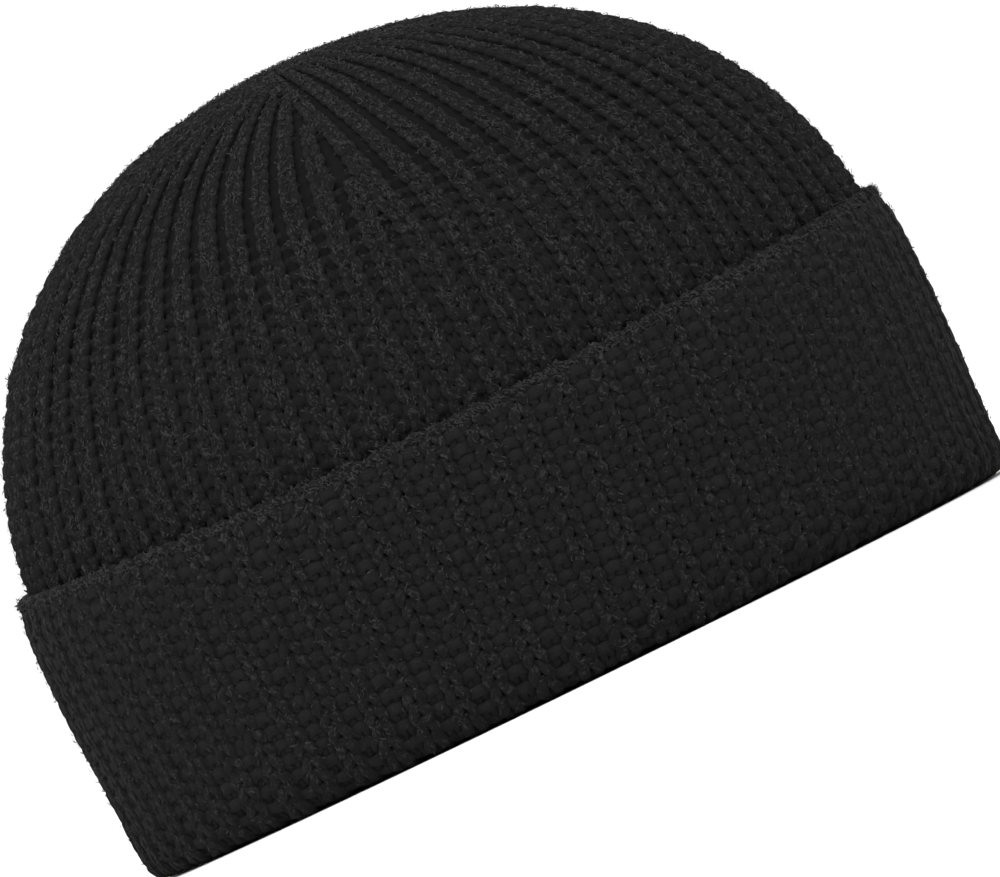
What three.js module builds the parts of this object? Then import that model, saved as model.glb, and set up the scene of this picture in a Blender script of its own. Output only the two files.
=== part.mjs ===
// Rib-knit fisherman beanie with a deep turned-up cuff, standing on the fold of the cuff.
// Millimetres, +Z up. The origin is the middle of the rim, on the surface that the hat stands on.
// +X is the forehead end, -X the back of the head, and the two long sides face +Y and -Y.
//
// The hat is one length of ribbed cloth: it closes at the crown, comes down as the inner wall,
// turns outwards at the fold and stands up again as the cuff. It is modelled as two solids that
// meet at the top of the fold: the crown with its inner wall, and the cuff with the fold.
import * as THREE from "three";

// Overall sizes, over the ribs
const rimLength = 224;
const rimWidth = 192;
const hatHeight = 158;
const cuffHeight = 70;

// The cuff's free edge stands this much higher at the front and back, and lower at the sides.
const edgeRise = 2.3;

// The walls are upright up to springHeight, and a dome of this squareness closes over them.
const springHeight = 64;
const domeSquareness = 2.1;

// The crown's closing point sits a little off the middle, towards the back and one side.
const closingOffsetX = -4;
const closingOffsetY = -14;
const closingPull = 1.5;

// Cloth: a corrugated rib sheet, so a ridge on one face is a groove on the other.
const clothThickness = 2.0;
const ribDepth = 2.1;
const layerGap = 0.4;
const seatGap = 0.3;

// Fold: the height over which the two layers part, and the flat pads that the hat stands on.
const foldHeight = 14;
const footLength = 1.6;
const footShare = 0.4;

// Ribs and the crown's four gores. Inside a gore the ribs run beside the seam that they start
// from, and end one after another on the next seam. They tighten towards the closing point.
const goreCount = 4;
const ribsPerGore = 16;
const seamAngle = THREE.MathUtils.degToRad(-83);
const decreaseHeight = 105;
const ribTightening = 0.82;

// The seams and ribs swirl by this much on their way to the closing point.
const crownSwirl = THREE.MathUtils.degToRad(-11);

// The cloth is turned up this many ribs to one side, so that the cuff's ridges stand over those
// of the crown.
const cuffSideStep = 0.5;

// The ribs are drawn together over the two long sides by these amounts, in radians.
const bodyGather = 0.04;
const edgeGather = 0.01;

const halfCloth = (clothThickness + ribDepth) / 2;
const layerPitch = clothThickness + ribDepth + layerGap;
const foldTop = halfCloth + foldHeight;
const domeHeight = hatHeight - halfCloth - springHeight;

// The cuff's middle line above the fold: up as a share of the way to the free edge, inward of
// its fullest line in shares of the layer pitch, and cloth as a share of its full thickness.
const cuffRows = [
  { up: 0.0, inward: 0.16, cloth: 1.0 },
  { up: 0.3, inward: 0.03, cloth: 1.0 },
  { up: 0.92, inward: 0.03, cloth: 1.0 },
  { up: 1.0, inward: 0.22, cloth: 0.3 },
];

// The fold's middle line, from the inner leg round the foot to the outer leg: across from the
// outer leg in shares of the layer pitch, up in shares of the fold's height, and sideways in
// shares of the cuff's side step.
const foldRows = [
  { across: 1.32, up: 0.78, sideways: 0.25 },
  { across: 1.55, up: 0.45, sideways: 0.6 },
  { across: 1.45, up: 0.14, sideways: 0.9 },
  { across: 0.28, up: 0.14, sideways: 1.0 },
  { across: 0.1, up: 0.45, sideways: 1.0 },
];
const footAcross = 0.88;
const footRow = 3;

// The inner wall's middle line: up as a share of the way from the fold's top to the spring line.
const wallRows = [
  { up: 1.0, inward: 0.0 },
  { up: 0.0, inward: 0.16 },
];

// Dome rings from the closing point down, as shares of the dome's height.
const domeRows = [0.992, 0.97, 0.93, 0.87, 0.79, 0.69, 0.57, 0.42, 0.22];

// One ring of the cloth's middle line.
function ring(inset, height, more = {}) {
  return {
    halfLength: rimLength / 2 - inset,
    halfWidth: rimWidth / 2 - inset,
    centreX: 0,
    centreY: 0,
    height,
    endRise: 0,
    gather: bodyGather,
    cloth: 1,
    ribs: ribsPerGore,
    swirl: 0,
    sideways: 0,
    foot: false,
    ...more,
  };
}

function domeShrink(share) {
  return Math.pow(1 - Math.pow(share, domeSquareness), 1 / domeSquareness);
}

const wallInset = halfCloth + layerPitch;
const decreaseShrink = domeShrink((decreaseHeight - springHeight) / domeHeight);

function domeRing(share) {
  const shrink = domeShrink(share);
  const closing = Math.pow(1 - shrink, closingPull);
  const left = Math.min(1, shrink / decreaseShrink);
  return ring(wallInset, springHeight + share * domeHeight, {
    halfLength: (rimLength / 2 - wallInset) * shrink,
    halfWidth: (rimWidth / 2 - wallInset) * shrink,
    centreX: closingOffsetX * closing,
    centreY: closingOffsetY * closing,
    swirl: crownSwirl * (1 - left),
    ribs: (ribsPerGore * left) / (1 - ribTightening * (1 - left)),
  });
}

function wallRing({ up, inward }) {
  const height = foldTop + up * (springHeight - foldTop);
  return ring(wallInset + inward * layerPitch, height);
}

const outerLeg = halfCloth + cuffRows[0].inward * layerPitch;

function foldRing({ across, up, sideways }) {
  return ring(outerLeg + across * layerPitch, halfCloth + up * foldHeight, { sideways });
}

function footRing(side) {
  const inset = outerLeg + footAcross * layerPitch + (side * footLength) / 2;
  return ring(inset, halfCloth, { foot: true, sideways: 1 });
}

function cuffRing({ up, inward, cloth }) {
  return ring(halfCloth + inward * layerPitch, foldTop + up * (cuffHeight - foldTop), {
    endRise: up * edgeRise,
    gather: bodyGather + up * (edgeGather - bodyGather),
    sideways: 1,
    cloth,
  });
}

// Places round the hat, from 0 to 1, where a ring has a ridge of the knit's face (shift +1) or a
// groove (shift -1). The foot has a groove's flat pad between two places.
function ribPlaces({ ribs, foot }) {
  const ridges = [0];
  while (ridges.length < ribs - 0.5) ridges.push(ridges.length / ribs);
  const places = [];
  for (let gore = 0; gore < goreCount; gore++) {
    ridges.forEach((ridge, i) => {
      const next = i + 1 < ridges.length ? ridges[i + 1] : 1;
      const groove = (ridge + next) / 2;
      const pad = (footShare * (next - ridge)) / 2;
      places.push({ turn: (gore + ridge) / goreCount, shift: 1 });
      for (const at of foot ? [groove - pad, groove + pad] : [groove])
        places.push({ turn: (gore + at) / goreCount, shift: -1 });
    });
  }
  return places;
}

function middlePoint(r, turn) {
  const even = seamAngle + 2 * Math.PI * turn;
  const angle = even + r.gather * Math.sin(2 * even) + r.swirl;
  return new THREE.Vector3(
    r.centreX + r.halfLength * Math.cos(angle),
    r.centreY + r.halfWidth * Math.sin(angle),
    r.height + r.endRise * Math.cos(2 * even),
  );
}

// The whole cloth, from the closing point to the cuff's free edge.
const cloth = [
  ...domeRows.map(domeRing),
  ...wallRows.map(wallRing),
  ...foldRows.slice(0, footRow).map(foldRing),
  footRing(1),
  footRing(-1),
  ...foldRows.slice(footRow).map(foldRing),
  ...cuffRows.map(cuffRing),
];
const seatRow = domeRows.length + wallRows.length - 1;

// A ring's points on the knit's face, which is outside on the crown and inside on the cuff, and
// on its back. slide moves the ring along the cloth.
function clothPoints(row, slide) {
  const r = cloth[row];
  const before = cloth[Math.max(row - 1, 0)];
  const after = cloth[Math.min(row + 1, cloth.length - 1)];
  const turnStep = 1e-3;
  const sideStep = (r.sideways * cuffSideStep) / (goreCount * ribsPerGore);
  return ribPlaces(r).map(({ turn, shift }) => {
    const at = turn + sideStep;
    const along = middlePoint(after, at).sub(middlePoint(before, at)).normalize();
    const round = middlePoint(r, at + turnStep).sub(middlePoint(r, at - turnStep));
    // The foot is pressed flat, so its cloth is offset straight up and down.
    const normal = r.foot ? new THREE.Vector3(0, 0, 1) : along.clone().cross(round).normalize();
    const middle = middlePoint(r, at).addScaledVector(along, slide);
    const offset = (side) => (side * r.cloth * clothThickness + shift * ribDepth) / 2;
    return {
      turn,
      face: middle.clone().addScaledVector(normal, offset(1)),
      back: middle.clone().addScaledVector(normal, offset(-1)),
    };
  });
}

// A closed wall of cloth between two rows. slideFirst and slideLast set its ends back from its
// neighbour. The crown closes on one point above its first row.
function clothSolid(firstRow, lastRow, slideFirst, slideLast, closesAtTop) {
  const positions = [];
  const triangles = [];
  const addPoint = (p) => positions.push(p.x, p.y, p.z) / 3 - 1;
  const addTriangle = (a, b, c, side) =>
    side === "face" ? triangles.push(a, b, c) : triangles.push(a, c, b);

  const rings = [];
  for (let row = firstRow; row <= lastRow; row++) {
    const slide = row === firstRow ? slideFirst : row === lastRow ? slideLast : 0;
    rings.push(
      clothPoints(row, slide).map((p) => ({
        turn: p.turn,
        face: addPoint(p.face),
        back: addPoint(p.back),
      })),
    );
  }

  // Joins two rings, which may hold different numbers of points.
  function joinRings(upper, lower, side) {
    const turnAfter = (points, k) => (k + 1 < points.length ? points[k + 1].turn : 1);
    let i = 0;
    let j = 0;
    while (i < upper.length || j < lower.length) {
      const a = upper[i % upper.length][side];
      const b = lower[j % lower.length][side];
      const lowerIsNext = i === upper.length || turnAfter(lower, j) < turnAfter(upper, i) + 1e-9;
      if (j < lower.length && lowerIsNext) {
        j++;
        addTriangle(a, b, lower[j % lower.length][side], side);
      } else {
        i++;
        addTriangle(a, b, upper[i % upper.length][side], side);
      }
    }
  }

  function closeOnPoint(points) {
    for (const side of ["face", "back"]) {
      const height = side === "face" ? hatHeight : hatHeight - clothThickness;
      const tip = addPoint(new THREE.Vector3(closingOffsetX, closingOffsetY, height));
      points.forEach((p, i) => addTriangle(tip, p[side], points[(i + 1) % points.length][side], side));
    }
  }

  function closeEdge(points, isFirst) {
    points.forEach((p, i) => {
      const q = points[(i + 1) % points.length];
      const side = isFirst ? "back" : "face";
      addTriangle(p.face, p.back, q.back, side);
      addTriangle(p.face, q.back, q.face, side);
    });
  }

  for (const side of ["face", "back"])
    for (let i = 0; i + 1 < rings.length; i++) joinRings(rings[i], rings[i + 1], side);
  if (closesAtTop) closeOnPoint(rings[0]);
  else closeEdge(rings[0], true);
  closeEdge(rings[rings.length - 1], false);

  const geometry = new THREE.BufferGeometry();
  geometry.setAttribute("position", new THREE.Float32BufferAttribute(positions, 3));
  geometry.setIndex(triangles);
  geometry.computeVertexNormals();
  return geometry;
}

function clothMesh(name, geometry) {
  const wool = new THREE.MeshStandardMaterial({ color: 0x222222, roughness: 0.95, metalness: 0 });
  const mesh = new THREE.Mesh(geometry, wool);
  mesh.name = name;
  return mesh;
}

const beanie = new THREE.Group();
beanie.add(
  clothMesh("crown", clothSolid(0, seatRow, 0, -seatGap / 2, true)),
  clothMesh("cuff", clothSolid(seatRow, cloth.length - 1, seatGap / 2, 0, false)),
);

export default beanie;
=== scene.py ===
import math
import bpy
import numpy as np
from mathutils import Matrix, Vector


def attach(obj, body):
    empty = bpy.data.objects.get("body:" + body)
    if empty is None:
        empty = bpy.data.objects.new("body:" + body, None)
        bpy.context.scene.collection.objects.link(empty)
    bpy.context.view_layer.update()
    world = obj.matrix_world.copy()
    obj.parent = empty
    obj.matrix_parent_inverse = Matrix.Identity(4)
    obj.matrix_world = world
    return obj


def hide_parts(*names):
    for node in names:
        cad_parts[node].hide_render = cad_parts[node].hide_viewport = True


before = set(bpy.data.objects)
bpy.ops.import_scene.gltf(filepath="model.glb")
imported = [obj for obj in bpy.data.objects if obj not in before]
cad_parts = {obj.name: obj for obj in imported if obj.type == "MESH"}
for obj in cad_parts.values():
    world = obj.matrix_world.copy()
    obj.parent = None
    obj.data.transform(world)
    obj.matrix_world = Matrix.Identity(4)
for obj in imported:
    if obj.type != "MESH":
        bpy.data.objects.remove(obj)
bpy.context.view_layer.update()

# A chunky rib-knit beanie with a deep turned-up cuff. Each row of stitches is one yarn that runs
# round the hat through its knit and purl loops. Lengths are in millimetres, and MM turns them
# into metres. The camera, the lights and the floor are in metres.

MM = 0.001
rng = np.random.default_rng(64)

# The camera looks along +Y at the hat's side. It is nearly level, and rolled as in the photo.
ROLL = math.radians(26)
ELEVATION = math.radians(0.6)
CAMERA_DISTANCE = 6.0
FRAME_WIDTH = 0.2317
SENSOR_WIDTH = 36
NEAREST, FARTHEST = 0.1, 50
AIM = Vector((0.0069, 0.0, 0.0580))


def make_camera():
    look = Vector((0, math.cos(ELEVATION), -math.sin(ELEVATION)))
    level_up = Vector((0, math.sin(ELEVATION), math.cos(ELEVATION)))
    level_right = look.cross(level_up)
    up = level_up * math.cos(ROLL) + level_right * math.sin(ROLL)
    turned = Matrix((look.cross(up), up, -look)).transposed().to_4x4()
    data = bpy.data.cameras.new("camera")
    data.sensor_width = SENSOR_WIDTH
    data.lens = SENSOR_WIDTH * CAMERA_DISTANCE / FRAME_WIDTH
    data.clip_start, data.clip_end = NEAREST, FARTHEST
    camera = bpy.data.objects.new("camera", data)
    bpy.context.scene.collection.objects.link(camera)
    camera.matrix_world = Matrix.Translation(AIM - look * CAMERA_DISTANCE) @ turned
    bpy.context.scene.camera = camera


make_camera()

# The same named sizes as the CAD source
RIM_LENGTH, RIM_WIDTH, HAT_HEIGHT, CUFF_HEIGHT = 224, 192, 158, 70
EDGE_RISE = 2.3
SPRING_HEIGHT, DOME_SQUARENESS = 64, 2.1
CLOSING_X, CLOSING_Y, CLOSING_PULL = -4, -14, 1.5
HALF_CLOTH, LAYER_PITCH = 2.05, 4.5
FOLD_HEIGHT = 14
GORES, RIBS_PER_GORE = 4, 16
SEAM_ANGLE = math.radians(-83)
CUFF_SIDE_STEP = 0.5
CROWN_SWIRL = math.radians(-11)
DECREASE_HEIGHT, RIB_TIGHTENING = 105, 0.82
BODY_GATHER, EDGE_GATHER = 0.04, 0.01
FOLD_TOP = HALF_CLOTH + FOLD_HEIGHT
DOME_HEIGHT = HAT_HEIGHT - HALF_CLOTH - SPRING_HEIGHT

# The yarn stands proud of the cloth's middle line, which is set back by SINK to make up for it.
SINK = 0.55
DOME_FULLNESS = 1.3
WALL_INSET = HALF_CLOTH + LAYER_PITCH + SINK
OUTER_LEG = HALF_CLOTH + SINK + 0.16 * LAYER_PITCH

# The cloth's middle line below the dome. The inner wall: inward of the wall's inset, height.
WALL_LINE = [(0.0, SPRING_HEIGHT), (0.0, 52), (0.1, 40), (0.35, 28),
             (0.16 * LAYER_PITCH, FOLD_TOP + 2)]

# The fold and the cuff: inward of the outer leg in shares of the layer pitch, height
CUFF_LINE = [(1.38, 11.5), (1.5, 7.6), (1.3, 3.9), (0.88, 2.6), (0.3, 2.8), (0.02, 5.4),
             (-0.06, 11.5), (-0.1, 18.0), (-0.2, 26.0), (-0.32, 40.0), (-0.34, 54.0),
             (-0.24, 63.0), (0.05, CUFF_HEIGHT - 1.5)]
CUFF_STARTS = 0.3
POINTS_PER_SPAN = 24
DOME_ROWS, APEX_ANGLE = 399, 0.004

# The surface runs on a little past the free edge, for the loops that hang over it.
EDGE_OVERRUN = 8

# Ribs wander sideways by shares of a rib: waves round the hat, arc per radian, phase, weight.
RIB_SWAY = 0.028
SWAY_FROM, SWAY_FULL = 10, 60
SIDE_STEP_BEFORE, SIDE_STEP_DONE = 16, 2
SWAY_WAVES = [(3, 19, 0, 1), (7, -11, 2, 1), (17, 7, 4, 0.7)]


def smooth(a, b, x):
    t = np.clip((x - a) / (b - a), 0, 1)
    return t * t * (3 - 2 * t)


def dome_shrink(share):
    return (1 - share ** DOME_SQUARENESS) ** (1 / DOME_SQUARENESS)


DECREASE_SHRINK = dome_shrink((DECREASE_HEIGHT - SPRING_HEIGHT) / DOME_HEIGHT)


def catmull(points, per_span):
    """Smooth curve through a list of points."""
    p = np.array(points, float)
    p = np.vstack([2 * p[0] - p[1], p, 2 * p[-1] - p[-2]])
    out = []
    for i in range(1, len(p) - 2):
        a, b, c, d = p[i - 1:i + 3]
        for t in np.arange(per_span) / per_span:
            out.append(0.5 * (2 * b + (c - a) * t + (2 * a - 5 * b + 4 * c - d) * t * t
                              + (3 * b - a - 3 * c + d) * t ** 3))
    out.append(p[-2])
    return np.array(out)


def build_profile():
    """Rows of half length, half width, centre x and y, height, end rise and gather."""
    rows = []
    for theta in np.linspace(APEX_ANGLE, math.pi / 2, DOME_ROWS + 1)[:-1]:
        shrink = math.sin(theta) ** (2 / DOME_SQUARENESS)
        share = math.cos(theta) ** (2 / DOME_SQUARENESS)
        closing = (1 - shrink) ** CLOSING_PULL
        rows.append((
            (RIM_LENGTH / 2 - WALL_INSET) * shrink, (RIM_WIDTH / 2 - WALL_INSET) * shrink,
            CLOSING_X * closing, CLOSING_Y * closing,
            SPRING_HEIGHT + share * (DOME_HEIGHT - SINK + DOME_FULLNESS), 0, BODY_GATHER))
    line = [(WALL_INSET + inward, height) for inward, height in WALL_LINE]
    line += [(OUTER_LEG + inward * LAYER_PITCH, height) for inward, height in CUFF_LINE]
    for inset, height in catmull(line, POINTS_PER_SPAN):
        up = max(0.0, (height - FOLD_TOP) / (CUFF_HEIGHT - FOLD_TOP))
        if inset >= OUTER_LEG + CUFF_STARTS * LAYER_PITCH:
            up = 0
        rows.append((RIM_LENGTH / 2 - inset, RIM_WIDTH / 2 - inset, 0, 0, height,
                     up * EDGE_RISE, BODY_GATHER + up * (EDGE_GATHER - BODY_GATHER)))
    last, before = np.array(rows[-1]), np.array(rows[-2])
    beyond = EDGE_OVERRUN / np.hypot(*(last - before)[[0, 4]])
    rows.append(last + (last - before) * beyond)
    return np.array(rows)


# Places on the cloth are an arc, the length along it from the closing point, and a turn, from 0
# to 1 round the hat.
PROFILE = build_profile()
HEIGHTS = PROFILE[:, 4]
mean_radius = (PROFILE[:, 0] + PROFILE[:, 1]) / 2
steps = np.hypot(np.diff(mean_radius), np.diff(HEIGHTS))
ARC = np.concatenate([[mean_radius[0]], mean_radius[0] + np.cumsum(steps)])
ARC_SPRING = ARC[DOME_ROWS - 1]
ARC_FOLD = ARC[np.argmin(np.where(ARC > ARC_SPRING, HEIGHTS, np.inf))]
ARC_END = ARC[-2]


def decrease_left(arc):
    """Share of the width at which the decreases start."""
    shrink = np.interp(arc, ARC, PROFILE[:, 0]) / (RIM_LENGTH / 2 - WALL_INSET)
    return np.where(arc < ARC_SPRING, np.minimum(1, shrink / DECREASE_SHRINK), 1)


def ribs_at(arc):
    """Ribs that are left in one gore."""
    left = decrease_left(arc)
    return RIBS_PER_GORE * left / (1 - RIB_TIGHTENING * (1 - left))


def surface(arc, turn):
    """Points of the cloth's middle surface."""
    half_length, half_width, x, y, height, rise, gather = (
        np.interp(arc, ARC, column) for column in PROFILE.T)
    sway = sum(weight * np.sin(2 * math.pi * waves * turn + arc / run + phase)
               for waves, run, phase, weight in SWAY_WAVES)
    stepped = smooth(ARC_FOLD - SIDE_STEP_BEFORE, ARC_FOLD - SIDE_STEP_DONE, arc)
    side_step = (CUFF_SIDE_STEP * stepped
                 + RIB_SWAY * smooth(SWAY_FROM, SWAY_FULL, arc) * sway)
    even = SEAM_ANGLE + 2 * math.pi * (turn + side_step / (GORES * RIBS_PER_GORE))
    angle = even + gather * np.sin(2 * even) + CROWN_SWIRL * (1 - decrease_left(arc))
    return np.stack([x + half_length * np.cos(angle), y + half_width * np.sin(angle),
                     height + rise * np.cos(2 * even)], -1)


ARC_STEP, TURN_STEP, LEAST_ARC = 0.7, 1e-3, 0.5


def unit(vectors):
    return vectors / np.linalg.norm(vectors, axis=-1, keepdims=True)


def surface_normal(arc, turn):
    """Direction of the knit's face: out on the crown, in on the cuff."""
    before = np.maximum(arc - ARC_STEP, LEAST_ARC)
    along = surface(arc + ARC_STEP, turn) - surface(before, turn)
    around = surface(arc, turn + TURN_STEP) - surface(arc, turn - TURN_STEP)
    return unit(np.cross(along, around))


# Rows of stitches. They are spread a little, so that the last one ends at the free edge.
BODY_ROW, CUFF_ROW = 4.0, 3.75
FIRST_ROW, LAST_ROW_INSIDE, LAST_ROW_ROOM = 5.0, 1.2, 1.5
CUFF_ROWS_BEFORE_FOLD = 12
SPREAD_FROM = 60


def make_rows():
    rows = []
    arc = FIRST_ROW
    while arc < ARC_END - LAST_ROW_ROOM:
        rows.append(arc)
        arc += BODY_ROW if arc < ARC_FOLD - CUFF_ROWS_BEFORE_FOLD else CUFF_ROW
    rows = np.array(rows)
    short_by = ARC_END - LAST_ROW_INSIDE - rows[-1]
    return rows + short_by * np.clip((rows - SPREAD_FROM) / (ARC_END - SPREAD_FROM), 0, 1)


row_arcs = make_rows()
LEAST_LAST_GAP = 0.75


def row_columns(arc):
    """Columns of one row in one gore: (rib place, share of the last gap, knit 1 or purl -1)."""
    ribs = float(ribs_at(arc))
    ridges = 1
    while ridges < ribs - 0.5:
        ridges += 1
    columns = []
    for i in range(ridges):
        columns.append((i, 0.0, 1))
        if i < ridges - 1:
            columns.append((i + 0.5, 0.0, -1))
        elif ribs - i > LEAST_LAST_GAP:
            columns.append((i / 2, 0.5, -1))
    return columns


# A loop's path, in shares of half the distance between columns, and its reach up and down
LEG_SPREAD, HEAD_SPREAD = 0.10, 0.44
LEAST_LOOP_ARC, LOOP_OVERHANG = 1.0, 2
HEAD_REACH_KNIT, HEAD_REACH_PURL, FOOT_REACH = 2.8, 2.25, 2.5
HOLD_UNTIL, DIP_UNTIL = 0.55 * math.pi, 0.78 * math.pi

# How far the columns and the loops in them stand out: knit columns forward, purl columns back
BODY_RIDGE, BODY_LOOP = 0.85, 0.5
BODY_VALLEY, BODY_VALLEY_LOOP = 0.4, 0.3
CUFF_RIDGE, CUFF_LOOP = 0.2, 0.3
FOLD_RIDGE, FOLD_REACH = 0.45, 12
CROWDED_VALLEY = 2.4

# The bars between the columns: sunk on the body, and bent like a shallow arch on the cuff
BODY_BAR_SINK = 0.1
CUFF_BAR_DENT, CUFF_DENT_WIDTH = 2.3, 0.8
CUFF_BEGINS = 14

# Where the decreases draw the ribs together, knit columns close over deep, narrow valleys.
GATHERED_BY = 0.32
GATHERED_VALLEY, GATHERED_WIDTH = 2.3, -0.09
GATHERED_RIDGE_YARN, GATHERED_VALLEY_YARN = -0.09, 0.3
GATHERED_LOOP = -0.3

# The yarn, and how it thins where columns stand closer than FULL_PITCH
YARN_RADIUS, CUFF_FATNESS = 1.68, 0.12
HEAD_FATNESS, FOOT_FATNESS = 1.02, 0.86
FULL_PITCH, FINEST, COARSEST = 4.7, 0.45, 1.05
KNIT_THINNING, PURL_THINNING, RELIEF_THINNING = 0.5, 0.75, 0.4

# Unevenness of the loops: along the rib, round the hat, outward, and in the yarn's thickness
UNEVEN_ALONG, UNEVEN_ROUND, UNEVEN_OUT, UNEVEN_YARN = 0.2, 0.05, 0.15, 0.04


def yarn_row(arc, samples):
    """Centre line, face normal, radius, and knit 1 or purl -1 of one row of loops."""
    place, share, kind = (np.array(column) for column in zip(*row_columns(arc)))
    count = len(place)
    loops = GORES * count
    jitter = rng.normal(size=(loops, 5))

    def turn_of(index, at):
        wrapped = index % loops
        gore = wrapped // count + (index // loops) * GORES
        column = wrapped % count
        ribs = ribs_at(at)
        return (gore + (place[column] + share[column] * ribs) / ribs) / GORES

    index = np.repeat(np.arange(loops), samples)
    knit = kind[index % count] > 0
    side = np.where(knit, 1, -1)
    along_jitter, round_jitter, out_jitter, yarn_jitter, _ = jitter[index].T

    # Round the loop from foot to foot: the head is at 0 and the feet are at -pi and pi. The knit
    # direction is up the hat, towards smaller arc.
    phi = np.tile((np.arange(samples) / samples * 2 - 1) * math.pi, loops)
    from_head = np.abs(phi)
    loose = 0.5 + 0.5 * np.cos(phi)
    on_cuff = float(smooth(ARC_FOLD, ARC_FOLD + CUFF_BEGINS, arc))
    reach = np.where(from_head < math.pi / 2,
                     np.where(knit, HEAD_REACH_KNIT, HEAD_REACH_PURL), FOOT_REACH)
    dent = CUFF_BAR_DENT * on_cuff * np.where(knit, np.exp(-(phi / CUFF_DENT_WIDTH) ** 2), 0)
    up = reach * np.cos(phi) - dent + loose * along_jitter * UNEVEN_ALONG
    at = np.clip(arc - up, LEAST_LOOP_ARC, ARC_END + LOOP_OVERHANG)

    own = turn_of(index, at)
    other = turn_of(index + np.where(phi > 0, 1, -1), at)
    pitch = np.linalg.norm(surface(at, other) - surface(at, own), axis=1)
    fine = np.clip(pitch / FULL_PITCH, FINEST, COARSEST)
    gathered = smooth(0, GATHERED_BY, 1 - decrease_left(at))
    edge = own + (other - own) * (0.5 + side * GATHERED_WIDTH * gathered)
    across = (from_head / math.pi + HEAD_SPREAD * np.sin(2 * from_head)
              + LEG_SPREAD * np.sin(from_head))
    turn = own + (edge - own) * across
    turn = turn + loose * round_jitter * UNEVEN_ROUND * np.abs(edge - own)

    hold = 1 - smooth(HOLD_UNTIL, math.pi, from_head)
    dip = 1 - smooth(DIP_UNTIL, math.pi, from_head)
    in_fold = np.clip(1 - np.abs(at - ARC_FOLD) / FOLD_REACH, 0, 1)
    valley = (BODY_VALLEY + CROWDED_VALLEY * np.clip(1 - fine, 0, 1)
              + GATHERED_VALLEY * gathered)
    ridge = np.where(knit, BODY_RIDGE, valley)
    ridge = ridge + (CUFF_RIDGE - ridge) * on_cuff
    ridge = ridge + (FOLD_RIDGE - ridge) * in_fold
    loop = np.where(knit, BODY_LOOP + GATHERED_LOOP * gathered, BODY_VALLEY_LOOP)
    loop = loop + (CUFF_LOOP - loop) * on_cuff
    out = side * (ridge * hold - loop * np.cos(2 * phi) * dip)
    out = out - BODY_BAR_SINK * (1 - on_cuff) * np.where(knit, 0, np.exp(-phi ** 2))
    out = out + loose * out_jitter * UNEVEN_OUT

    end_fatness = np.where(from_head < math.pi / 2, HEAD_FATNESS, FOOT_FATNESS)
    fat = end_fatness + (1 - end_fatness) * np.sin(from_head) ** 2
    thinning = np.where(knit, KNIT_THINNING, PURL_THINNING)
    radius = YARN_RADIUS * fat * (1 - thinning + thinning * fine)
    radius *= 1 + UNEVEN_YARN * yarn_jitter * loose
    radius *= 1 + gathered * np.where(knit, GATHERED_RIDGE_YARN, -GATHERED_VALLEY_YARN)
    radius *= 1 + CUFF_FATNESS * on_cuff

    normal = surface_normal(at, turn)
    relief = out * (1 - RELIEF_THINNING + RELIEF_THINNING * fine)
    points = surface(at, turn) + normal * relief[:, None]
    assert np.isfinite(points).all()
    return points, normal, radius, side


def yarn_tube(points, normal, radius, sides, v_shift):
    """Vertices, quads and loop coordinates of a closed yarn."""
    count = len(points)
    tangent = unit(np.roll(points, -1, 0) - np.roll(points, 1, 0))
    side = unit(np.cross(tangent, normal))
    up = np.cross(side, tangent)
    angle = np.arange(sides) / sides * 2 * math.pi
    ring = (points[:, None, :] + radius[:, None, None] * (
        np.cos(angle)[None, :, None] * up[:, None, :]
        + np.sin(angle)[None, :, None] * side[:, None, :]))
    row = np.repeat(np.arange(count), sides)
    s = np.tile(np.arange(sides), count)
    next_row, next_s = (row + 1) % count, (s + 1) % sides
    quads = np.stack([row * sides + s, row * sides + next_s,
                      next_row * sides + next_s, next_row * sides + s], 1)
    length = np.concatenate([[0], np.cumsum(np.linalg.norm(np.diff(
        np.vstack([points, points[:1]]), axis=0), axis=1))])
    u0, u1 = length[row], length[row + 1]
    v0, v1 = s / sides + v_shift, (s + 1) / sides + v_shift
    uv = np.stack([np.stack([u0, v0], 1), np.stack([u0, v1], 1),
                   np.stack([u1, v1], 1), np.stack([u1, v0], 1)], 1)
    return ring.reshape(-1, 3), quads, uv


PRESS_SOFTNESS, PRESS_DEPTH = 0.7, -0.45


def pressed(height):
    """Cloth that rests on the floor is pressed flat, and nothing goes below it."""
    def soft(h):
        return (h + np.sqrt(h * h + PRESS_SOFTNESS ** 2)) / 2
    return np.maximum(soft(height) - soft(PRESS_DEPTH), 0)


def make_object(name, verts, faces, uv, material, **attributes):
    """A mesh object of the hat. Every face has as many corners as faces has columns."""
    sides = faces.shape[1]
    mesh = bpy.data.meshes.new(name)
    mesh.vertices.add(len(verts))
    mesh.vertices.foreach_set("co", (verts * MM).astype(np.float32).ravel())
    mesh.loops.add(faces.size)
    mesh.loops.foreach_set("vertex_index", faces.astype(np.int32).ravel())
    mesh.polygons.add(len(faces))
    mesh.polygons.foreach_set("loop_start", np.arange(len(faces), dtype=np.int32) * sides)
    mesh.polygons.foreach_set("loop_total", np.full(len(faces), sides, np.int32))
    mesh.update(calc_edges=True)
    mesh.shade_smooth()
    layer = mesh.uv_layers.new(name="yarn")
    layer.data.foreach_set("uv", uv.astype(np.float32).ravel())
    for label, values in attributes.items():
        layer = mesh.attributes.new(label, "FLOAT", "POINT")
        layer.data.foreach_set("value", values.astype(np.float32))
    mesh.validate()
    obj = bpy.data.objects.new(name, mesh)
    bpy.context.scene.collection.objects.link(obj)
    mesh.materials.append(material)
    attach(obj, "root")
    return obj


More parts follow.
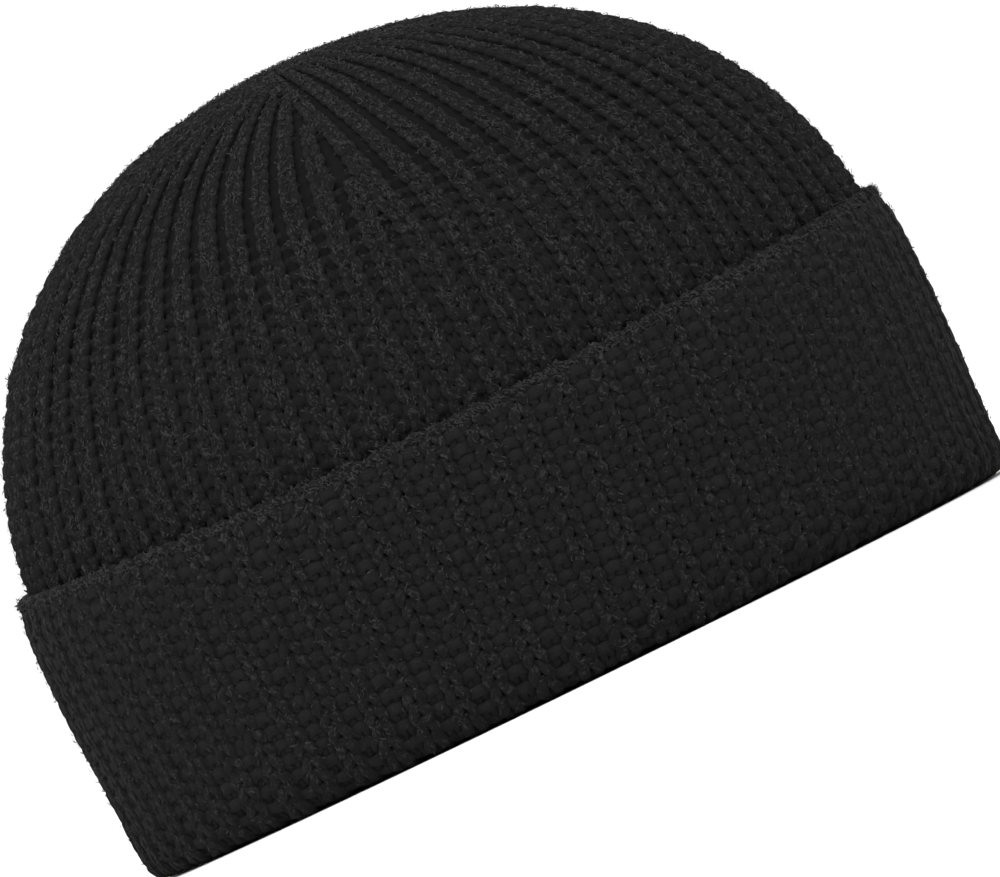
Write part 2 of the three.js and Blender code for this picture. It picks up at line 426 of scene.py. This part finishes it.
class Strands:
    """Yarns that are joined into one mesh. fuzz is how much pale fibre shows. tone
    scales the wool's colour: painted fill light in the valleys and on the yarn's shaded sides,
    and a lighter rim."""

    def __init__(self):
        self.verts, self.quads, self.uvs, self.total = [], [], [], 0
        self.fuzz, self.tone = [], []

    def add(self, verts, quads, uv, fuzz, tone):
        self.verts.append(verts)
        self.fuzz.append(np.zeros(len(verts)) + fuzz)
        self.tone.append(np.zeros(len(verts)) + tone)
        self.quads.append(quads + self.total)
        self.uvs.append(uv.reshape(-1, 2))
        self.total += len(verts)

    def make(self, name):
        return make_object(name, np.vstack(self.verts), np.vstack(self.quads),
                           np.vstack(self.uvs), wool, fuzz=np.concatenate(self.fuzz),
                           tone=np.concatenate(self.tone))


# Materials. Colours are linear. The yarn's own coordinates run along it in millimetres and once
# round it from 0 to 1.
WOOL_DARK, WOOL_LIGHT = (0.0083, 0.0083, 0.0084), (0.0108, 0.0108, 0.0110)
# Colours of the dark sheet behind the loops: painted shade for the gaps between them
GAP_SHADE_DARK, GAP_SHADE_LIGHT = (0.0070, 0.0070, 0.0071), (0.0092, 0.0092, 0.0094)
FIBRE_DARK, FIBRE_LIGHT = (0.021, 0.021, 0.0214), (0.041, 0.041, 0.0418)
FLECK_COLOUR = (0.0385, 0.0385, 0.0392)
GRAIN_STRETCH = (0.55, 7.0, 1)
FLECK_STRETCH, FLECK_LEAN = (1.15, 11.0, 1.0), math.radians(24)
FLECK_FROM, FLECK_FULL = 0.555, 0.605
CLUSTER_FROM, CLUSTER_FULL, CLUSTER_LEAST = 0.38, 0.58, 0.25
PATCHES_PER_METRE = 420
COLOUR_FROM, COLOUR_FULL = 0.14, 0.42
BUMP_STRENGTH, BUMP_DISTANCE = 0.9, 0.0007
WOOL_SPECULAR, SHEEN_ROUGHNESS = 0.03, 0.45


class Shader:
    """A new material's node tree. Inputs are values or sockets that are linked."""

    def __init__(self, name):
        self.material = bpy.data.materials.new(name)
        self.material.use_nodes = True
        self.tree = self.material.node_tree
        self.surface = self.tree.nodes["Principled BSDF"]

    def connect(self, node, inputs):
        for key, value in inputs.items():
            if isinstance(value, bpy.types.NodeSocket):
                self.tree.links.new(value, node.inputs[key])
            else:
                node.inputs[key].default_value = value

    def add(self, kind, inputs, output, **settings):
        node = self.tree.nodes.new("ShaderNode" + kind)
        for key, value in settings.items():
            setattr(node, key, value)
        self.connect(node, inputs)
        return node.outputs[output]

    def times(self, a, b):
        return self.add("Math", {0: a, 1: b}, 0, operation="MULTIPLY")

    def ramp(self, factor, dark, light):
        node = self.tree.nodes.new("ShaderNodeValToRGB")
        ends = ((COLOUR_FROM, dark), (COLOUR_FULL, light))
        for element, (position, colour) in zip(node.color_ramp.elements, ends):
            element.position = position
            element.color = (*colour, 1)
        self.connect(node, {"Fac": factor})
        return node.outputs["Color"]


def wool_material(name, dark, light, sheen, rough, has_tone=False):
    shader = Shader(name)
    add = shader.add
    uv = add("UVMap", {}, "UV", uv_map="yarn")
    along = add("Mapping", {"Vector": uv, "Scale": GRAIN_STRETCH}, "Vector")
    grain = add("TexNoise", {"Vector": along, "Scale": 2.6, "Detail": 5, "Roughness": 0.62}, "Fac")
    place = add("TexCoord", {}, "Object")
    patch = add("TexNoise", {"Vector": place, "Scale": PATCHES_PER_METRE, "Detail": 3}, "Fac")
    colour = shader.ramp(shader.times(grain, patch), dark, light)
    # Painted fill light in the valleys and on the yarn's shaded sides, and a lighter rim, scale
    # the base colour
    if has_tone:
        tone = add("Attribute", {}, "Fac", attribute_name="tone")
        colour = add("VectorMath", {0: colour, "Scale": tone}, "Vector", operation="SCALE")

    # Short pale fibres, which show in clusters where the yarn faces out
    leaning = add("Mapping", {"Vector": uv, "Scale": FLECK_STRETCH,
                              "Rotation": (0, 0, FLECK_LEAN)}, "Vector")
    strokes = add("TexNoise", {"Vector": leaning, "Scale": 1.0, "Detail": 1.5,
                               "Distortion": 1.0}, "Fac")
    fleck = add("MapRange", {"Value": strokes, "From Min": FLECK_FROM,
                             "From Max": FLECK_FULL}, "Result")
    fuzz = add("Attribute", {}, "Fac", attribute_name="fuzz")
    cluster = add("MapRange", {"Value": patch, "From Min": CLUSTER_FROM,
                               "From Max": CLUSTER_FULL, "To Min": CLUSTER_LEAST}, "Result")
    amount = shader.times(shader.times(fleck, fuzz), cluster)
    colour = add("Mix", {"Factor": amount, "A": colour, "B": (*FLECK_COLOUR, 1)}, "Result",
                 data_type="RGBA")
    normal = add("Bump", {"Height": grain, "Strength": BUMP_STRENGTH,
                          "Distance": BUMP_DISTANCE}, "Normal")
    shader.connect(shader.surface, {
        "Base Color": colour, "Normal": normal, "Roughness": rough,
        "Specular IOR Level": WOOL_SPECULAR, "Sheen Weight": sheen,
        "Sheen Roughness": SHEEN_ROUGHNESS, "Sheen Tint": (1, 1, 1, 1)})
    return shader.material


wool = wool_material("black_wool", WOOL_DARK, WOOL_LIGHT, sheen=0.008, rough=0.92, has_tone=True)
# Painted shade for the dark sheet behind the loops
gap_shade = wool_material("gap_shade_wool", GAP_SHADE_DARK, GAP_SHADE_LIGHT, sheen=0.0, rough=0.95)
fibre_wool = wool_material("wool_fibre", FIBRE_DARK, FIBRE_LIGHT, sheen=0.03, rough=0.85)

# Raised columns carry more pale fibre than valleys. The valleys and the sides of the yarn get
# painted fill light, a lighter colour standing in for light that fuzzy wool scatters into the
# shaded creases.
VALLEY_FILL_LIGHT, LEG_FILL_LIGHT, SIDE_FILL_LIGHT, RIM_TONE = 1.2, 1.0, 0.9, 1.15
CUFF_FUZZ, VALLEY_FUZZ, RIM_FUZZ = 0.5, 0.12, 1.2
FACING_GAIN, FACING_START = 1.25, 0.05
RIM_BAND_FROM, RIM_BAND_FULL = 10, 3

# Knitted pieces, by arc. The inner wall hardly shows, so its yarn has fewer faces.
ZONES = [
    ("crown_knit_top", 0, 78),
    ("crown_knit_upper", 78, 115),
    ("crown_knit_lower", 115, ARC_SPRING + 6),
    ("inner_wall_knit", ARC_SPRING + 6, ARC_FOLD - 14),
    ("fold_knit", ARC_FOLD - 14, ARC_FOLD + 16),
    ("cuff_knit_lower", ARC_FOLD + 16, ARC_FOLD + 44),
    ("cuff_knit_upper", ARC_FOLD + 44, ARC_END + 9),
]
SEEN_YARN, HIDDEN_YARN = (10, 5), (6, 4)

# Where loose fibres grow, by piece: points, normals, radii and weights of its yarns
yarns = {}


def knit_piece(name, low, high):
    face_side = 1 if name.startswith(("crown", "inner")) else -1
    samples, sides = HIDDEN_YARN if name == "inner_wall_knit" else SEEN_YARN
    group = Strands()
    yarns[name] = []
    for row in row_arcs[(row_arcs >= low) & (row_arcs < high)]:
        points, normal, radius, kind = yarn_row(row, samples)
        v, f, uv = yarn_tube(points, normal, radius, sides, rng.random())
        v[:, 2] = pressed(v[:, 2])
        uv[..., 0] += rng.random() * 100
        raised = np.repeat(kind * face_side > 0, sides)
        facing = ((v - np.repeat(points, sides, 0)) * np.repeat(normal, sides, 0)).sum(1)
        facing = facing / np.repeat(radius, sides) * face_side
        near_rim = smooth(ARC_END - RIM_BAND_FROM, ARC_END - RIM_BAND_FULL, row)
        rib_fuzz = CUFF_FUZZ + (1 - CUFF_FUZZ) * near_rim if row > ARC_FOLD else 1.0
        fuzz = (np.where(raised, rib_fuzz, VALLEY_FUZZ)
                * np.clip(FACING_GAIN * facing - FACING_START, 0, 1))
        # Painted fill light: valleys, and yarn sides that face away from the cloth's face, are
        # made lighter
        tone = (np.where(raised, LEG_FILL_LIGHT, VALLEY_FILL_LIGHT)
                * (1 + SIDE_FILL_LIGHT * (1 - np.clip(facing, 0, 1))))
        group.add(v, f, uv, fuzz, tone)
        yarns[name].append((points, normal, radius, kind))
    return group.make(name)


knitted = {name: knit_piece(name, low, high) for name, low, high in ZONES}

# Painted shade: a dark sheet behind the loops darkens the gaps between them and stops light
# showing through. Its waves fill the creases between the columns.
BACKING_COLUMNS = 256
BACKING_LOWEST = 0.6
WAVE_FROM_RIBS, WAVE_FULL_RIBS = 14.5, 16


def shade_backing(name, arc_low, arc_high, rows, depth, lift):
    columns = np.arange(BACKING_COLUMNS)
    turn = columns / BACKING_COLUMNS
    verts = []
    for arc in np.linspace(arc_low, arc_high, rows):
        ribs = float(ribs_at(arc))
        phase = (turn * GORES % 1) * ribs
        wave = np.cos(4 * math.pi * phase) * depth * smooth(WAVE_FROM_RIBS, WAVE_FULL_RIBS, ribs)
        at = np.full(BACKING_COLUMNS, arc)
        verts.append(surface(at, turn) + surface_normal(at, turn) * (wave + lift)[:, None])
    verts = np.array(verts)
    verts[..., 2] = np.maximum(verts[..., 2], BACKING_LOWEST)
    row = np.repeat(np.arange(rows - 1), BACKING_COLUMNS) * BACKING_COLUMNS
    column = np.tile(columns, rows - 1)
    after = (column + 1) % BACKING_COLUMNS
    quads = np.stack([row + column, row + BACKING_COLUMNS + column,
                      row + BACKING_COLUMNS + after, row + after], 1)
    make_object(name, verts.reshape(-1, 3), quads, np.zeros((len(quads), 4, 2)), gap_shade)


shade_backing("crown_shade_backing", 0.8, ARC_FOLD - 14, rows=40, depth=-0.55, lift=0.25)
shade_backing("cuff_shade_backing", ARC_FOLD - 14, ARC_END - 2, rows=26, depth=0.65, lift=-0.55)

# The cast-on edge: strands that wind unevenly round the free edge of the cuff
EDGE_TURNS, EDGE_STRANDS, EDGE_SIDES = 112, 3, 5
EDGE_POINTS_PER_TURN = 8
EDGE_WINDING, EDGE_RADIUS = 0.95, 0.95
EDGE_LIFT, EDGE_INWARD = 0.3, 0.25
EDGE_RIB_UP, EDGE_RIB_OUT = 0.25, 0.35
EDGE_WANDER, EDGE_UNEVEN = 0.14, 0.12
SLIP_SLOW, SLIP_FAST, SLIP_TWIST, SLIP_UP = 0.25, 0.35, 0.12, 0.5
EDGE_FIBRES = -6


def edge_rope(name):
    n = EDGE_TURNS * EDGE_POINTS_PER_TURN
    t = np.arange(n) / n
    rim = surface(np.full(n, ARC_END), t)
    normal = surface_normal(np.full(n, ARC_END - 0.5), t)
    along = unit(rim - surface(np.full(n, ARC_END - 1.0), t))
    ridge = -np.cos(2 * math.pi * GORES * RIBS_PER_GORE * t)
    group = Strands()
    yarns[name] = []
    for s in range(EDGE_STRANDS):
        fast = np.sin(2 * math.pi * (t * (EDGE_TURNS // 5) + s / 3))
        slow = np.sin(2 * math.pi * (t * (EDGE_TURNS // 7) + s / 2 + 0.3))
        slip = SLIP_FAST * fast + SLIP_SLOW * slow
        a = 2 * math.pi * (t * EDGE_TURNS + s / EDGE_STRANDS + SLIP_TWIST * slip)
        up = (EDGE_LIFT + EDGE_RIB_UP * ridge
              + EDGE_WINDING * np.sin(a) * (1 + SLIP_UP * slip) + SLIP_UP * slip)
        out = -EDGE_INWARD - EDGE_RIB_OUT * ridge + EDGE_WINDING * np.cos(a)
        points = rim + along * up[:, None] + normal * out[:, None]
        points += rng.normal(size=(n, 3)) * EDGE_WANDER
        radius = EDGE_RADIUS * (1 + EDGE_UNEVEN * rng.normal(size=n).clip(-2, 2))
        v, f, uv = yarn_tube(points, normal, radius, EDGE_SIDES, rng.random())
        group.add(v, f, uv, RIM_FUZZ, RIM_TONE)
        yarns[name].append((points, normal, radius, np.full(n, EDGE_FIBRES)))
    group.make(name)


edge_rope("cuff_edge")

# The closing at the top: short spokes of yarn, drawn together by a ring of it
SPOKES, SPOKE_POINTS, KNOT_SIDES = 10, 8, 6
SPOKE_FROM, SPOKE_TO = 10.5, 1.2
SPOKE_TWIST, SPOKE_UNEVEN = 0.05, 0.03
SPOKE_LIFT, SPOKE_RADIUS, SPOKE_BACK = (0.7, 0.1), (1.2, 0.9), 1.6
DRAWN_POINTS, DRAWN_ARC, DRAWN_RADIUS = 14, 1.0, 1.15


def closing_knot(name):
    group = Strands()
    for i in range(SPOKES):
        turn = i / SPOKES + SPOKE_UNEVEN * rng.normal()
        n = SPOKE_POINTS
        arcs = np.linspace(SPOKE_FROM, SPOKE_TO, n)
        normal = surface_normal(arcs, np.full(n, turn))
        front = surface(arcs, np.full(n, turn) + np.linspace(0, SPOKE_TWIST, n))
        front = front + normal * np.linspace(*SPOKE_LIFT, n)[:, None]
        back = front[::-1] - normal[::-1] * SPOKE_BACK
        radius = np.linspace(*SPOKE_RADIUS, n)
        v, f, uv = yarn_tube(
            np.vstack([front, back]), np.vstack([normal, -normal[::-1]]),
            np.concatenate([radius, radius[::-1]]), KNOT_SIDES, rng.random())
        # The spokes and the ring below get the valleys' painted fill light
        group.add(v, f, uv, VALLEY_FUZZ, VALLEY_FILL_LIGHT)
    turns = np.arange(DRAWN_POINTS) / DRAWN_POINTS
    arcs = np.full(DRAWN_POINTS, DRAWN_ARC)
    v, f, uv = yarn_tube(surface(arcs, turns), surface_normal(arcs, turns),
                         np.full(DRAWN_POINTS, DRAWN_RADIUS), KNOT_SIDES, 0.5)
    group.add(v, f, uv, VALLEY_FUZZ, VALLEY_FILL_LIGHT)
    group.make(name)


closing_knot("crown_closing")

# Loose fibres: short curved slivers that lie on the yarn, in clumps, mostly on raised columns
FIBRE_LENGTH, FIBRE_HALF_WIDTH, FIBRE_RISE = (0.7, 1.5), (0.09, 0.17), (0.03, 0.4)
FIBRE_LEAN, FIBRE_ASTRAY, FIBRE_CURL, FIBRE_TIP_CURL = 0.55, 0.8, 0.35, 0.6
FIBRE_SHIFT, FIBRE_ROOT = 1.2, (0.92, 1.02)
FIBRE_VALLEY, FIBRE_LOWEST = 0.22, 0.05
CLUMP_POWER, CLUMP_LEAST = 2.2, 0.15
CUFF_YARNS = ("fold_knit", "cuff_knit_lower", "cuff_knit_upper", "cuff_edge")


def fibres(name, pieces, count, face_side):
    source = [yarn for piece in pieces for yarn in yarns[piece]]
    points = np.vstack([yarn[0] for yarn in source])
    normals = np.vstack([yarn[1] for yarn in source]) * face_side
    radii = np.concatenate([yarn[2] for yarn in source])
    kinds = np.concatenate([yarn[3] for yarn in source]) * face_side
    tangents = unit(np.vstack([np.roll(yarn[0], -1, 0) - np.roll(yarn[0], 1, 0)
                               for yarn in source]))
    clump = rng.random(len(points)) ** CLUMP_POWER
    weight = np.where(kinds > 0, kinds, FIBRE_VALLEY) * (CLUMP_LEAST + clump)
    pick = rng.choice(len(points), count, p=weight / weight.sum())
    shift = rng.uniform(-FIBRE_SHIFT, FIBRE_SHIFT, count)[:, None]
    normal, tangent = normals[pick], tangents[pick]
    middle = points[pick] + tangent * shift
    across = unit(np.cross(tangent, normal))
    lean = rng.normal(size=count)[:, None] * FIBRE_LEAN
    direction = unit(normal + across * lean)
    root = middle + direction * (radii[pick] * rng.uniform(*FIBRE_ROOT, count))[:, None]
    run = (tangent * rng.choice([-1, 1], count)[:, None]
           + across * rng.normal(size=(count, 1)) * FIBRE_ASTRAY)
    run = unit(run - (run * direction).sum(1)[:, None] * direction)
    length = rng.uniform(*FIBRE_LENGTH, count)[:, None]
    rise = rng.uniform(*FIBRE_RISE, count)[:, None]
    wide = np.cross(run, direction)
    curl = wide * rng.normal(size=(count, 1)) * FIBRE_CURL
    bend = root + (run + curl) * length * 0.5 + direction * rise * length
    tip = (root + (run - curl * FIBRE_TIP_CURL) * length
           + direction * rise * length * 0.6)
    half = wide * rng.uniform(*FIBRE_HALF_WIDTH, count)[:, None]
    verts = np.stack([root - half, root + half, bend + half, bend - half, tip], 1)
    verts[..., 2] = np.maximum(verts[..., 2], FIBRE_LOWEST)
    first = np.arange(count)[:, None] * 5
    tris = np.vstack([first + [0, 1, 2], first + [0, 2, 3], first + [3, 2, 4]])
    make_object(name, verts.reshape(-1, 3), tris, np.zeros((len(tris), 3, 2)), fibre_wool)


fibres("crown_fibres_top", ("crown_knit_top",), 12000, 1)
fibres("crown_fibres_side", ("crown_knit_upper", "crown_knit_lower"), 24000, 1)
fibres("cuff_fibres", CUFF_YARNS, 17000, -1)

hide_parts("crown")
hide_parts("cuff")

# The studio: a plain pale floor, and a world that is as bright, so no horizon shows
FLOOR_REACH = 40.0
FLOOR_CORNERS = ((-1, -1), (1, -1), (1, 1), (-1, 1))
WORLD_STRENGTH = 1.1


def studio_floor():
    mesh = bpy.data.meshes.new("studio_floor")
    mesh.from_pydata([(x * FLOOR_REACH, y * FLOOR_REACH, 0) for x, y in FLOOR_CORNERS],
                     [], [(0, 1, 2, 3)])
    floor = bpy.data.objects.new("studio_floor", mesh)
    bpy.context.scene.collection.objects.link(floor)
    paper = Shader("studio_paper")
    paper.connect(paper.surface, {"Base Color": (0.93, 0.93, 0.93, 1), "Roughness": 0.9,
                                  "Specular IOR Level": 0.1})
    mesh.materials.append(paper.material)


def studio_world():
    world = bpy.data.worlds.new("studio")
    bpy.context.scene.world = world
    world.use_nodes = True
    background = world.node_tree.nodes["Background"]
    background.inputs["Color"].default_value = (1, 1, 1, 1)
    background.inputs["Strength"].default_value = WORLD_STRENGTH


def area_light(name, at, target, size, power):
    data = bpy.data.lights.new(name, "AREA")
    data.energy = power
    data.size = size
    light = bpy.data.objects.new(name, data)
    light.location = at
    light.rotation_euler = (Vector(target) - Vector(at)).to_track_quat("-Z", "Y").to_euler()
    bpy.context.scene.collection.objects.link(light)


studio_floor()
studio_world()
area_light("key", (0.25, -0.9, 2.3), (0, 0, 0.07), 1.4, 24)
area_light("side", (-1.3, -0.5, 2.2), (0, 0, 0.07), 1.2, 15)

view = bpy.context.scene.view_settings
view.view_transform = "Standard"
view.look = "None"
view.exposure = 0
view.gamma = 1
